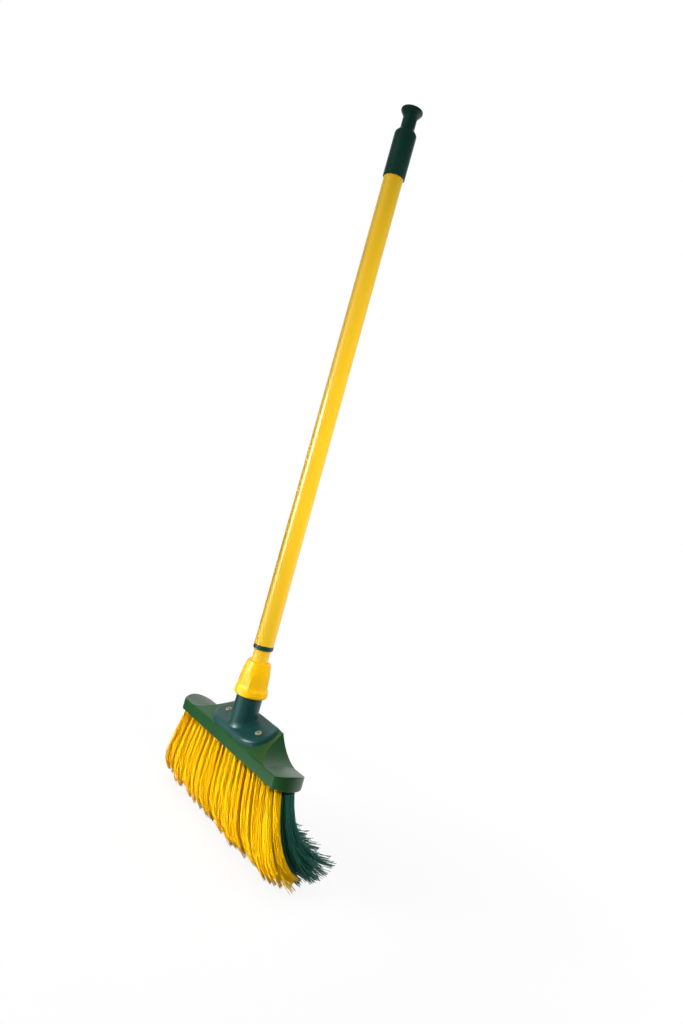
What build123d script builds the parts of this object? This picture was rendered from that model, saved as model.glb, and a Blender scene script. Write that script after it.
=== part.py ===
from build123d import *
from math import acos, atan2, cos, degrees, pi, radians, sin, sqrt, tan
import os

# Telescopic stable broom, in millimetres. The handle runs along Z, the moulded block along X,
# and the front of the broom, with the yellow tufts, faces -Y. The origin is the middle of the
# grip's barrel, on the handle's axis.

# Grip
barrel_d = 29.3
barrel_len = 59.0
barrel_edge_r = 1.0
shoulder_len = 6.6
shoulder_r = 4.0
hang_neck_d = 18.8
hang_neck_len = 15.6
knob_flare_len = 7.5
knob_d = 28.8
knob_rim_len = 2.6
knob_dome_len = 2.2
knob_edge_r = 1.0
neck_fillet_r = 2.0
grip_hold = 55.0

# Tubes of the telescopic handle
outer_d = 26.0
outer_len = 683.8
inner_d = 22.0
inner_len = 690.0
tube_wall = 0.8

# Ring that closes the lower end of the outer tube
ring_d = 26.6
ring_len = 6.4
ring_edge_r = 2.0
ring_sleeve_len = 30.0

# Twist lock inside the handle, at the top of the inner tube
plug_len = 30.0
plug_collar_len = 3.0
spindle_d = 8.0
spindle_end_cut = 0.8
lock_sleeve_len = 34.0
lock_sleeve_foot_r = 5.2
lock_taper = 4.5
lock_slit = 2.6
wedge_len = 26.0
wedge_lift = 1.6
stop_cap_d = 13.0
stop_cap_len = 4.0
stop_cap_gap = 3.0

# Locking nut and its clamp ring
bare_tube_len = 15.8
nut_len = 46.0
nut_foot_d = 45.0
nut_top_d = 30.6
nut_swell = 0.9
nut_foot_r = 3.6
nut_top_r = 1.2
nut_flats = 9
nut_flat_turn = 13.4
nut_flat_top = 17.8
nut_flat_foot = 19.2
nut_flange_len = 12.0
nut_run_out = 18.0
nut_flat_run_r = 8.0
nut_mouth_d = 23.2
nut_lip_len = 3.0
nut_taper_len = 15.0
thread_d = 33.0
clamp_ring_wall = 1.0
clamp_slit = 2.0

# Socket
socket_d = 34.3
socket_show = 52.0
thread_len = 23.0
socket_floor = 22.0
flange_half = 61.0
flange_flat_half = 30.0
flange_front_gap = 1.8
flange_rear_half = 50.0
flange_rear_gap = 0.3
flange_front_len = 7.5
flange_rear_len = 1.8
flange_side = 3.0
flange_edge_r = 5.0
flare_r = 8.0
flare_front_share = 0.15
flare_sink = 0.3
flare_turns = [90, 65, 40, 20, 0]

# Screws that hold the socket on the block
screw_spacing = 82.0
screw_set_back = 2.6
screw_d = 4.2
screw_head_d = 8.6
screw_head_len = 2.0
screw_head_r = 1.4
screw_len = 22.0
screw_tip_len = 4.0
screw_point_r = 0.4

# Block
bar_half = 125.5
bar_rear_half = 127.0
end_bow = 12.0
bar_height = 14.5
bar_crown = 5.0
bar_crown_start = 95.0
bar_flat_crown = 0.1
bar_edge_r = 1.0
front_edge_cut = 0.9
front_edge_lean = 58.0
block_depth = 42.5
axis_to_front = 21.4
ridge_height = 26.8
hump_foot = 112.0
hump_side_r = 66.0
hump_bow = 5.0
hump_sink = 0.5
hump_lip = 0.5
hump_crease_r = 0.8
sole_rear_r = 5.0

# Tufts, in rows along the block from the front to the rear
tuft_pitch = 11.6
tufts_per_row = 21
row_pitch = 7.4
first_row_inset = 6.0
strip_width = 6.2
strip_len_margin = 4.0
strip_height = 4.0
staple_len = 5.0
staple_wall = 0.5
staple_height = 4.0
row_names = ["yellow_row_1", "yellow_row_2", "green_row_1", "green_row_2", "green_row_3"]
bristle_len = 111.0
front_splay = 20.0
rear_splay = 60.0
row_blend = 1.5
front_curl = 3.2
rear_curl = 2.6
fan_out = 0.37
tip_ragged = 4.5
tip_ragged_step = 2.4
strand_root_r = 1.45
strand_tip_r = 1.0
strand_circle_r = 1.6
strands_per_tuft = 3
strand_root_depth = 1.0
strand_bends = [0.45, 0.75]

# Clearances
press_gap = 0.05
slide_gap = 0.15
lock_gap = 0.2
face_gap = 0.3
screw_gap = 0.05

# Heights along the handle, from the grip down
barrel_top = barrel_len / 2
barrel_foot = -barrel_len / 2
neck_foot = barrel_top + shoulder_len
neck_top = neck_foot + hang_neck_len
knob_rim_foot = neck_top + knob_flare_len
knob_rim_top = knob_rim_foot + knob_rim_len
knob_top = knob_rim_top + knob_dome_len
knob_dome_r = ((knob_d / 2) ** 2 + knob_dome_len**2) / (2 * knob_dome_len)
outer_top = barrel_foot + grip_hold
outer_foot = outer_top - outer_len
ring_foot = outer_foot - ring_len
nut_top = ring_foot - bare_tube_len
nut_foot = nut_top - nut_len
socket_mouth = nut_foot + thread_len
bar_top = nut_foot - socket_show
sole = bar_top - bar_height
bore_floor = bar_top + socket_floor
inner_foot = bore_floor + face_gap
inner_top = inner_foot + inner_len

# Radii that pieces share
barrel_r = barrel_d / 2
outer_r = outer_d / 2
outer_bore_r = outer_r - tube_wall
inner_r = inner_d / 2
inner_bore_r = inner_r - tube_wall
socket_r = socket_d / 2
thread_r = thread_d / 2
socket_bore_r = inner_r + slide_gap

# The block's inclined front and the plane that the socket sits on
front_y = -axis_to_front
rear_y = block_depth - axis_to_front
mid_y = (front_y + rear_y) / 2
hump_front = bar_top + hump_lip
ridge_top = bar_top + ridge_height
hump_rear = rear_y + hump_bow
incline = atan2(ridge_top - hump_front, hump_rear - front_y)
seat_height = hump_front + axis_to_front * tan(incline)
seat = Plane(origin=(0, 0, seat_height), x_dir=(1, 0, 0), z_dir=(0, -sin(incline), cos(incline)))
foot_rear_y = rear_y + hump_bow * (1 - (flange_rear_half / hump_foot) ** 2) - flange_rear_gap
seat_rear = foot_rear_y / cos(incline)
seat_front = axis_to_front / cos(incline)

os.makedirs("parts", exist_ok=True)


def corner(x, y):
    """The corner of the sketch being drawn that lies at a place."""
    return vertices().sort_by_distance((x, y))[0]


# Grip: a barrel over the tube's end, a neck to hang it by and a flared knob
neck_r = hang_neck_d / 2
knob_r = knob_d / 2
with BuildPart() as grip:
    with BuildSketch(Plane.XZ):
        with BuildLine():
            Polyline(
                (0, knob_top),
                (0, outer_top),
                (outer_r + press_gap, outer_top),
                (outer_r + press_gap, barrel_foot),
                (barrel_r, barrel_foot),
                (barrel_r, barrel_top),
                (neck_r, neck_foot),
                (neck_r, neck_top),
                (knob_r, knob_rim_foot),
                (knob_r, knob_rim_top),
            )
            RadiusArc((knob_r, knob_rim_top), (0, knob_top), -knob_dome_r)
        make_face()
        fillet(corner(barrel_r, barrel_foot), radius=barrel_edge_r)
        fillet(corner(barrel_r, barrel_top), radius=shoulder_r)
        fillet(corner(neck_r, neck_foot), radius=neck_fillet_r)
        fillet(corner(neck_r, neck_top), radius=neck_fillet_r)
        fillet(corner(knob_r, knob_rim_foot), radius=knob_edge_r)
        fillet(corner(knob_r, knob_rim_top), radius=knob_edge_r)
    revolve(axis=Axis.Z)
grip.part.label = "grip"
export_step(grip.part, "parts/grip.step")


# Outer tube
with BuildPart() as outer_tube:
    with BuildSketch(Plane.XY.offset(outer_foot)):
        Circle(outer_r)
        Circle(outer_bore_r, mode=Mode.SUBTRACT)
    extrude(amount=outer_len)
outer_tube.part.label = "outer_tube"
export_step(outer_tube.part, "parts/outer_tube.step")


# End ring: a rim under the outer tube and a sleeve inside it that guides the inner tube
with BuildPart() as end_ring:
    with BuildSketch(Plane.XY.offset(ring_foot)):
        Circle(ring_d / 2)
    extrude(amount=ring_len)
    fillet(edges().sort_by(Axis.Z)[0], radius=ring_edge_r)
    with BuildSketch(Plane.XY.offset(outer_foot)):
        Circle(outer_bore_r - press_gap)
    extrude(amount=ring_sleeve_len)
    with BuildSketch(Plane.XY.offset(ring_foot)):
        Circle(inner_r + slide_gap)
    extrude(amount=ring_len + ring_sleeve_len, mode=Mode.SUBTRACT)
end_ring.part.label = "end_ring"
export_step(end_ring.part, "parts/end_ring.step")


# Inner tube
with BuildPart() as inner_tube:
    with BuildSketch(Plane.XY.offset(inner_foot)):
        Circle(inner_r)
        Circle(inner_bore_r, mode=Mode.SUBTRACT)
    extrude(amount=inner_len)
inner_tube.part.label = "inner_tube"
export_step(inner_tube.part, "parts/inner_tube.step")


# Lock spindle: a plug in the inner tube, a collar on its rim and a screw spindle above
collar_top = inner_top + plug_collar_len
lock_sleeve_foot = collar_top + face_gap
lock_sleeve_top = lock_sleeve_foot + lock_sleeve_len
wedge_top = lock_sleeve_top + wedge_lift
stop_cap_foot = wedge_top + stop_cap_gap
stop_cap_top = stop_cap_foot + stop_cap_len
spindle_r = spindle_d / 2
with BuildPart() as lock_spindle:
    with BuildSketch(Plane.XY.offset(inner_top - plug_len)):
        Circle(inner_bore_r - press_gap)
    extrude(amount=plug_len)
    with BuildSketch(Plane.XY.offset(inner_top)):
        Circle(inner_r)
    extrude(amount=plug_collar_len)
    with BuildSketch(Plane.XY.offset(collar_top)):
        Circle(spindle_r)
    extrude(amount=stop_cap_top - collar_top)
    chamfer(edges().sort_by(Axis.Z)[-1], length=spindle_end_cut)
lock_spindle.part.label = "lock_spindle"
export_step(lock_spindle.part, "parts/lock_spindle.step")


# Stop cap, pressed on the spindle's end so that the wedge can't run off
with BuildPart() as stop_cap:
    with BuildSketch(Plane.XY.offset(stop_cap_foot)):
        Circle(stop_cap_d / 2)
        Circle(spindle_r + press_gap, mode=Mode.SUBTRACT)
    extrude(amount=stop_cap_len)
stop_cap.part.label = "stop_cap"
export_step(stop_cap.part, "parts/stop_cap.step")


# Lock sleeve: a slit sleeve with a tapered bore, which the wedge opens against the outer tube
lock_sleeve_r = outer_bore_r - lock_gap
bore_foot_r = lock_sleeve_foot_r
bore_top_r = lock_sleeve_foot_r + lock_taper
with BuildPart() as lock_sleeve:
    with BuildSketch(Plane.XZ):
        with BuildLine():
            Polyline(
                (bore_foot_r, lock_sleeve_foot),
                (lock_sleeve_r, lock_sleeve_foot),
                (lock_sleeve_r, lock_sleeve_top),
                (bore_top_r, lock_sleeve_top),
                close=True,
            )
        make_face()
    revolve(axis=Axis.Z)
    with BuildSketch(Plane.XY.offset(lock_sleeve_foot)):
        with Locations((lock_sleeve_r, 0)):
            Rectangle(2 * lock_sleeve_r, lock_slit)
    extrude(amount=lock_sleeve_len, mode=Mode.SUBTRACT)
lock_sleeve.part.label = "lock_sleeve"
export_step(lock_sleeve.part, "parts/lock_sleeve.step")


# Wedge nut: a cone on the spindle's thread, with a key in the sleeve's slit
taper_slope = lock_taper / lock_sleeve_len
wedge_foot = wedge_top - wedge_len
wedge_foot_r = bore_foot_r + taper_slope * (wedge_foot - lock_sleeve_foot) - lock_gap
wedge_top_r = bore_foot_r + taper_slope * (wedge_top - lock_sleeve_foot) - lock_gap
key_width = lock_slit - 2 * lock_gap
key_reach = (bore_top_r + lock_sleeve_r) / 2
with BuildPart() as wedge_nut:
    with BuildSketch(Plane.XZ):
        with BuildLine():
            Polyline(
                (0, wedge_foot),
                (wedge_foot_r, wedge_foot),
                (wedge_top_r, wedge_top),
                (0, wedge_top),
                close=True,
            )
        make_face()
    revolve(axis=Axis.Z)
    with BuildSketch(Plane.XY.offset(wedge_foot)):
        with Locations((key_reach / 2, 0)):
            Rectangle(key_reach, key_width)
    extrude(amount=wedge_len)
    with BuildSketch(Plane.XY.offset(wedge_foot)):
        Circle(spindle_r + lock_gap)
    extrude(amount=wedge_len, mode=Mode.SUBTRACT)
wedge_nut.part.label = "wedge_nut"
export_step(wedge_nut.part, "parts/wedge_nut.step")


# Flat of the locking nut: a cutter that runs out above the nut's flange
nut_foot_edge = nut_foot_d / 2
nut_top_edge = nut_top_d / 2
flange_top = nut_foot + nut_flange_len
with BuildPart() as nut_flat:
    with BuildSketch(Plane.XZ):
        with BuildLine():
            Polyline(
                (nut_flat_top, nut_top),
                (nut_flat_foot, flange_top),
                (nut_flat_foot + nut_flange_len, flange_top - nut_run_out),
                (nut_flat_foot + nut_flange_len, nut_top),
                close=True,
            )
        make_face()
        fillet(corner(nut_flat_foot, flange_top), radius=nut_flat_run_r)
    extrude(amount=nut_foot_edge, both=True)


# Locking nut: a turned, slightly swelled taper with flats for the hand
nut_bore_r = thread_r + slide_gap
nut_mouth_r = nut_mouth_d / 2
nut_taper_top = nut_top - nut_lip_len
nut_taper_foot = nut_taper_top - nut_taper_len
with BuildPart() as locking_nut:
    with BuildSketch(Plane.XZ):
        with BuildLine():
            Polyline(
                (nut_top_edge, nut_top),
                (0, nut_top),
                (0, nut_foot),
                (nut_foot_edge, nut_foot),
            )
            ThreePointArc(
                (nut_foot_edge, nut_foot),
                ((nut_foot_edge + nut_top_edge) / 2 + nut_swell, (nut_foot + nut_top) / 2),
                (nut_top_edge, nut_top),
            )
        make_face()
        fillet(corner(nut_foot_edge, nut_foot), radius=nut_foot_r)
        fillet(corner(nut_top_edge, nut_top), radius=nut_top_r)
    revolve(axis=Axis.Z)
    with PolarLocations(0, nut_flats, start_angle=nut_flat_turn):
        add(nut_flat.part, mode=Mode.SUBTRACT)
    with BuildSketch(Plane.XZ):
        with BuildLine():
            Polyline(
                (0, nut_foot),
                (nut_bore_r, nut_foot),
                (nut_bore_r, nut_taper_foot),
                (nut_mouth_r, nut_taper_top),
                (nut_mouth_r, nut_top),
                (0, nut_top),
                close=True,
            )
        make_face()
    revolve(axis=Axis.Z, mode=Mode.SUBTRACT)
locking_nut.part.label = "locking_nut"
export_step(locking_nut.part, "parts/locking_nut.step")


# Clamp ring: a slit cone between the nut's tapered bore and the inner tube
clamp_foot = socket_mouth + face_gap
clamp_bore_r = inner_r + slide_gap
clamp_top_r = clamp_bore_r + clamp_ring_wall
clamp_slope = (nut_bore_r - nut_mouth_r) / nut_taper_len
clamp_top = nut_taper_foot + (nut_bore_r - face_gap - clamp_top_r) / clamp_slope
clamp_foot_r = nut_bore_r - face_gap
with BuildPart() as clamp_ring:
    with BuildSketch(Plane.XZ):
        with BuildLine():
            Polyline(
                (clamp_bore_r, clamp_foot),
                (clamp_foot_r, clamp_foot),
                (clamp_foot_r, nut_taper_foot),
                (clamp_top_r, clamp_top),
                (clamp_bore_r, clamp_top),
                close=True,
            )
        make_face()
    revolve(axis=Axis.Z)
    with BuildSketch(Plane.XY.offset(clamp_foot)):
        with Locations((0, clamp_foot_r)):
            Rectangle(clamp_slit, 2 * clamp_foot_r)
    extrude(amount=clamp_top - clamp_foot, mode=Mode.SUBTRACT)
clamp_ring.part.label = "clamp_ring"
export_step(clamp_ring.part, "parts/clamp_ring.step")


def flange_outline(inset):
    """Closed line of the socket's foot, drawn in by an inset: straight in front, round at the sides."""
    half = flange_half - inset
    flat_half = flange_flat_half - inset
    front = seat_front - flange_front_gap - inset
    rear_half = flange_rear_half - inset
    rear_turn = degrees(acos((rear_half - flat_half) / (half - flat_half)))
    rear_radius = seat_rear / sin(radians(rear_turn))
    Line((-flat_half, -front), (flat_half, -front))
    EllipticalCenterArc((flat_half, 0), half - flat_half, front, 270, arc_size=90)
    EllipticalCenterArc((flat_half, 0), half - flat_half, rear_radius, 0, arc_size=rear_turn)
    Line((rear_half, seat_rear), (-rear_half, seat_rear))
    EllipticalCenterArc((-flat_half, 0), half - flat_half, rear_radius, 180 - rear_turn, arc_size=rear_turn)
    EllipticalCenterArc((-flat_half, 0), half - flat_half, front, 180, arc_size=90)


# Places of the two screws on the foot's top
screw_places = [(-screw_spacing / 2, screw_set_back), (screw_spacing / 2, screw_set_back)]


# Socket: a foot on the block's inclined front, flared into the tube that takes the handle
foot_slope = atan2(flange_front_len - flange_rear_len, seat_front + seat_rear)
foot_len = flange_rear_len + seat_rear * tan(foot_slope)
foot_top = seat.offset(foot_len).rotated((degrees(-foot_slope), 0, 0))
foot_tilt = incline - foot_slope
axis_on_foot = -foot_top.origin.Y / cos(foot_tilt)
with BuildPart() as socket:
    with BuildSketch(seat):
        with BuildLine():
            flange_outline(0)
        make_face()
    with BuildSketch(foot_top):
        with BuildLine():
            flange_outline(flange_side)
        make_face()
    loft(ruled=True)
    foot_rim = faces().sort_by(Axis(seat.origin, seat.z_dir))[-1].edges()
    fillet(foot_rim.filter_by(lambda e: e.center().Y < rear_y - 2), radius=flange_edge_r)
    for turn in flare_turns:
        spread = flare_r * (1 - cos(radians(turn))) - flare_sink
        rise = flare_r * (1 - sin(radians(turn))) - flare_sink
        with BuildSketch(foot_top.offset(rise)):
            with Locations((0, axis_on_foot + rise * tan(foot_tilt))):
                Ellipse(socket_r + spread, (socket_r + flare_front_share * spread) / cos(foot_tilt))
    loft()
    with BuildSketch(Plane.XY.offset(bar_top)):
        Circle(socket_r)
    extrude(amount=nut_foot - face_gap - bar_top)
    with BuildSketch(Plane.XY.offset(bar_top)):
        Circle(thread_r)
    extrude(amount=socket_mouth - bar_top)
    split(bisect_by=seat, keep=Keep.TOP)
    with BuildSketch(Plane.XY.offset(bore_floor)):
        Circle(socket_bore_r)
    extrude(amount=socket_mouth - bore_floor, mode=Mode.SUBTRACT)
    with BuildSketch(foot_top):
        with Locations(*screw_places):
            Circle(screw_d / 2 + screw_gap)
    extrude(amount=-screw_len, mode=Mode.SUBTRACT)
socket.part.label = "socket"
export_step(socket.part, "parts/socket.step")


# Screws through the socket's foot into the block
with BuildPart() as socket_screws:
    with BuildSketch(foot_top):
        with Locations(*screw_places):
            Circle(screw_head_d / 2)
    extrude(amount=screw_head_len)
    fillet(edges().filter_by(GeomType.CIRCLE).group_by(Axis(foot_top.origin, foot_top.z_dir))[-1],
           radius=screw_head_r)
    with BuildSketch(foot_top):
        with Locations(*screw_places):
            Circle(screw_d / 2)
    extrude(amount=-screw_len)
    chamfer(edges().filter_by(GeomType.CIRCLE).group_by(Axis(foot_top.origin, foot_top.z_dir))[0],
            length=screw_tip_len, length2=screw_d / 2 - screw_point_r)
socket_screws.part.label = "socket_screws"
export_step(socket_screws.part, "parts/socket_screws.step")


# Tuft places: each row is a list of X places, every second row set over by half a pitch
def tuft_places(row):
    """X of each tuft in a row, counted from the front."""
    count = tufts_per_row + row % 2
    return [(place - (count - 1) / 2) * tuft_pitch for place in range(count)]


rows = range(len(row_names))
row_ys = [front_y + first_row_inset + row * row_pitch for row in rows]
strip_top = sole + strip_height


# Staples: flat wire anchors above the tufts, one for each
with BuildPart() as tuft_staples:
    for row in rows:
        with Locations(*[(x, row_ys[row], strip_top) for x in tuft_places(row)]):
            Box(staple_len, staple_wall, staple_height, align=(Align.CENTER, Align.CENTER, Align.MIN))
tuft_staples.part.label = "tuft_staples"
export_step(tuft_staples.part, "parts/tuft_staples.step")


# Hump in the middle of the block: concave sides, the inclined front and a bowed rear
side_centre = bar_top + hump_side_r - hump_sink
side_top = ridge_top + hump_lip
side_turn = acos((side_centre - side_top) / hump_side_r)
side_top_half = hump_foot - hump_side_r * sin(side_turn)
behind = hump_rear + hump_bow
with BuildPart() as hump:
    with BuildSketch(Plane.XZ):
        with BuildLine():
            Line((-hump_foot, sole), (hump_foot, sole))
            Line((hump_foot, sole), (hump_foot, side_centre - hump_side_r))
            CenterArc((hump_foot, side_centre), hump_side_r, 270, -degrees(side_turn))
            Line((side_top_half, side_top), (-side_top_half, side_top))
            CenterArc((-hump_foot, side_centre), hump_side_r,
                      270 + degrees(side_turn), -degrees(side_turn))
            Line((-hump_foot, side_centre - hump_side_r), (-hump_foot, sole))
        make_face()
    extrude(amount=block_depth, both=True)
    with BuildSketch(Plane.YZ):
        with BuildLine():
            Polyline(
                (front_y, sole),
                (behind, sole),
                (behind, ridge_top + hump_bow * tan(incline)),
                (front_y, hump_front),
                close=True,
            )
        make_face()
    extrude(amount=hump_foot, both=True, mode=Mode.INTERSECT)
    with BuildSketch(Plane.XY.offset(sole)):
        with BuildLine():
            Polyline(
                (-hump_foot, rear_y - hump_sink),
                (-hump_foot, front_y),
                (hump_foot, front_y),
                (hump_foot, rear_y - hump_sink),
            )
            ThreePointArc((hump_foot, rear_y - hump_sink), (0, hump_rear), (-hump_foot, rear_y - hump_sink))
        make_face()
    extrude(amount=bar_height + ridge_height + hump_lip, mode=Mode.INTERSECT)
    creases = edges().filter_by(GeomType.ELLIPSE)
    fillet(creases.filter_by(lambda e: abs(e.center().X) > side_top_half), radius=hump_crease_r)
    fillet(edges().filter_by(GeomType.CIRCLE).sort_by(Axis.Z)[0], radius=sole_rear_r)


def bar_outline(crown):
    """Closed line of the bar's section across X, with its top crowned by a height."""
    Line((front_y, bar_top), (front_y, sole))
    Line((front_y, sole), (rear_y, sole))
    Line((rear_y, sole), (rear_y, bar_top))
    ThreePointArc((rear_y, bar_top), (mid_y, bar_top + crown), (front_y, bar_top))


# Block: a bar with bowed ends, crowned towards them, joined to the hump
end_reach = bar_half + 2 * end_bow
edge_rise = front_edge_cut + hump_lip + ridge_height
edge_run = edge_rise / tan(radians(front_edge_lean))
with BuildPart() as block:
    for x, crown in [(-end_reach, bar_crown), (-bar_crown_start, bar_flat_crown),
                     (bar_crown_start, bar_flat_crown), (end_reach, bar_crown)]:
        with BuildSketch(Plane.YZ.offset(x)):
            with BuildLine():
                bar_outline(crown)
            make_face()
            fillet(corner(rear_y, sole), radius=sole_rear_r)
    loft(ruled=True)
    with BuildSketch(Plane.XY.offset(sole)):
        with BuildLine():
            Line((-bar_half, front_y), (bar_half, front_y))
            ThreePointArc((bar_half, front_y), (bar_half + end_bow, mid_y), (bar_rear_half, rear_y))
            Line((bar_rear_half, rear_y), (-bar_rear_half, rear_y))
            ThreePointArc((-bar_rear_half, rear_y), (-bar_half - end_bow, mid_y), (-bar_half, front_y))
        make_face()
    extrude(amount=bar_height + bar_crown, mode=Mode.INTERSECT)
    ends = edges().filter_by(lambda e: abs(e.center().X) > bar_half - 1 and e.center().Z > sole + 1)
    fillet(ends, radius=bar_edge_r)
    add(hump.part)
    with BuildSketch(Plane.YZ):
        with BuildLine():
            Polyline(
                (front_y, bar_top - front_edge_cut),
                (front_y + edge_run, bar_top - front_edge_cut + edge_rise),
                (front_y, bar_top - front_edge_cut + edge_rise),
                close=True,
            )
        make_face()
    extrude(amount=end_reach, both=True, mode=Mode.SUBTRACT)
    for row in rows:
        with BuildSketch(Plane.XY.offset(sole)):
            with Locations((0, row_ys[row])):
                Rectangle((len(tuft_places(row)) - 1) * tuft_pitch + 2 * strip_len_margin, strip_width)
        extrude(amount=strip_height, mode=Mode.SUBTRACT)
    add(tuft_staples.part, mode=Mode.SUBTRACT)
    with BuildSketch(foot_top):
        with Locations(*screw_places):
            Circle(screw_d / 2 + screw_gap)
    extrude(amount=-screw_len, mode=Mode.SUBTRACT)
block.part.label = "block"
export_step(block.part, "parts/block.step")


def between(front, rear, row):
    """A row's value between those of the front row and the rear one."""
    return front + (rear - front) * (row / (len(row_names) - 1)) ** row_blend


def bristle_strand(x, y, row, ragged):
    """One strand: it fans out along X, and curves to the rear more and more towards its tip."""
    splay = between(front_splay, rear_splay, row)
    drop = sqrt(bristle_len**2 - splay**2 - (fan_out * x) ** 2) + ragged
    curl = between(front_curl, rear_curl, row)
    with BuildPart() as strand:
        for reach in [-strand_root_depth / drop] + strand_bends + [1.0]:
            below = max(reach, 0)
            with BuildSketch(Plane.XY.offset(sole - drop * reach)):
                with Locations((x * (1 + fan_out * below), y + splay * below**curl)):
                    RegularPolygon(strand_root_r + (strand_tip_r - strand_root_r) * below, 3)
        loft(ruled=True)
    return strand.part


# Rows of tufts: each row's strands stand in the strip of the sole that holds them
strand_turns = [2 * pi * strand / strands_per_tuft for strand in range(strands_per_tuft)]
for row in rows:
    places = tuft_places(row)
    strands = []
    for number, x in enumerate(places):
        for turn in strand_turns:
            ragged = tip_ragged * cos(tip_ragged_step * number + turn + row)
            strands.append(bristle_strand(x + strand_circle_r * sin(turn),
                                          row_ys[row] + strand_circle_r * cos(turn), row, ragged))
    with BuildPart() as tuft_row:
        with BuildSketch(Plane.XY.offset(sole)):
            with Locations((0, row_ys[row])):
                Rectangle((len(places) - 1) * tuft_pitch + 2 * strip_len_margin, strip_width)
        extrude(amount=strip_height)
        add(strands, clean=False)
    tuft_row.part.label = row_names[row]
    export_step(tuft_row.part, f"parts/{row_names[row]}.step")
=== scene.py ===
"""Stable broom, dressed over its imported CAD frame: filaments, screws, finishes, light and camera."""

from __future__ import annotations

import logging
import math
import random
from dataclasses import dataclass, field
from enum import Enum

import bpy
from mathutils import Matrix, Vector

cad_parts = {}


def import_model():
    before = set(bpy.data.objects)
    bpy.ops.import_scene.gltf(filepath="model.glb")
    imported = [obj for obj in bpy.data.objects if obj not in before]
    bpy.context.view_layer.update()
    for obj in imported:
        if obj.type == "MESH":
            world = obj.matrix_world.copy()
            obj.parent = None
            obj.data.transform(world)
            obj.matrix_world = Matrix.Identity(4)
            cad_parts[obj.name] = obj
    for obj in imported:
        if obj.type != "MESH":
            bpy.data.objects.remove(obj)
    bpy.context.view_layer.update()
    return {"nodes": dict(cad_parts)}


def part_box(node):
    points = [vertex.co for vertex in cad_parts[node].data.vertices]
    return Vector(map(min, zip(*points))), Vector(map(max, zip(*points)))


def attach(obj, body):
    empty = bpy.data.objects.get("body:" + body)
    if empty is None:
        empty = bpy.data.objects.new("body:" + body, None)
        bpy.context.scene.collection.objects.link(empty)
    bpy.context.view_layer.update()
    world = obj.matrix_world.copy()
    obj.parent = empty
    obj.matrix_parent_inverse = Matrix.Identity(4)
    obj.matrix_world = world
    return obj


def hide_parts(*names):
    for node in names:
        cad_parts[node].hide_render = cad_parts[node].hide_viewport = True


LOG = logging.getLogger("stable_broom")

Rgb = tuple[float, float, float]
Point = tuple[float, float, float]
Range = tuple[float, float]

WHITE: Rgb = (1.0, 1.0, 1.0)


def linear(red: int, green: int, blue: int) -> Rgb:
    """Turns a display colour into the linear one that a shader takes.

    Args:
        red: Red from 0 to 255.
        green: Green from 0 to 255.
        blue: Blue from 0 to 255.

    Returns:
        The linear colour, each part from 0 to 1.
    """
    parts = [value / 255 for value in (red, green, blue)]
    return tuple(p / 12.92 if p <= 0.04045 else ((p + 0.055) / 1.055) ** 2.4 for p in parts)


def clear_selection() -> None:
    """Leaves nothing selected, so that an operator acts on the new piece alone."""
    if bpy.context.mode != "OBJECT":
        bpy.ops.object.mode_set(mode="OBJECT")
    bpy.ops.object.select_all(action="DESELECT")


def take(piece: bpy.types.Object) -> None:
    """Selects one object alone and makes it the active one.

    Args:
        piece: The object to work on.
    """
    clear_selection()
    piece.select_set(True)
    bpy.context.view_layer.objects.active = piece


def settle(piece: bpy.types.Object) -> bpy.types.Object:
    """Moves a piece's place, turn and scale into its mesh.

    Args:
        piece: The object to settle.

    Returns:
        The same object, at the origin.
    """
    take(piece)
    bpy.ops.object.transform_apply(location=True, rotation=True, scale=True)
    return piece


def dress(piece: bpy.types.Object, material: bpy.types.Material) -> None:
    """Gives a piece one material all over.

    Args:
        piece: The object to dress.
        material: Its finish.
    """
    if not piece.material_slots:
        piece.data.materials.append(material)
    for slot in piece.material_slots:
        slot.material = material


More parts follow.
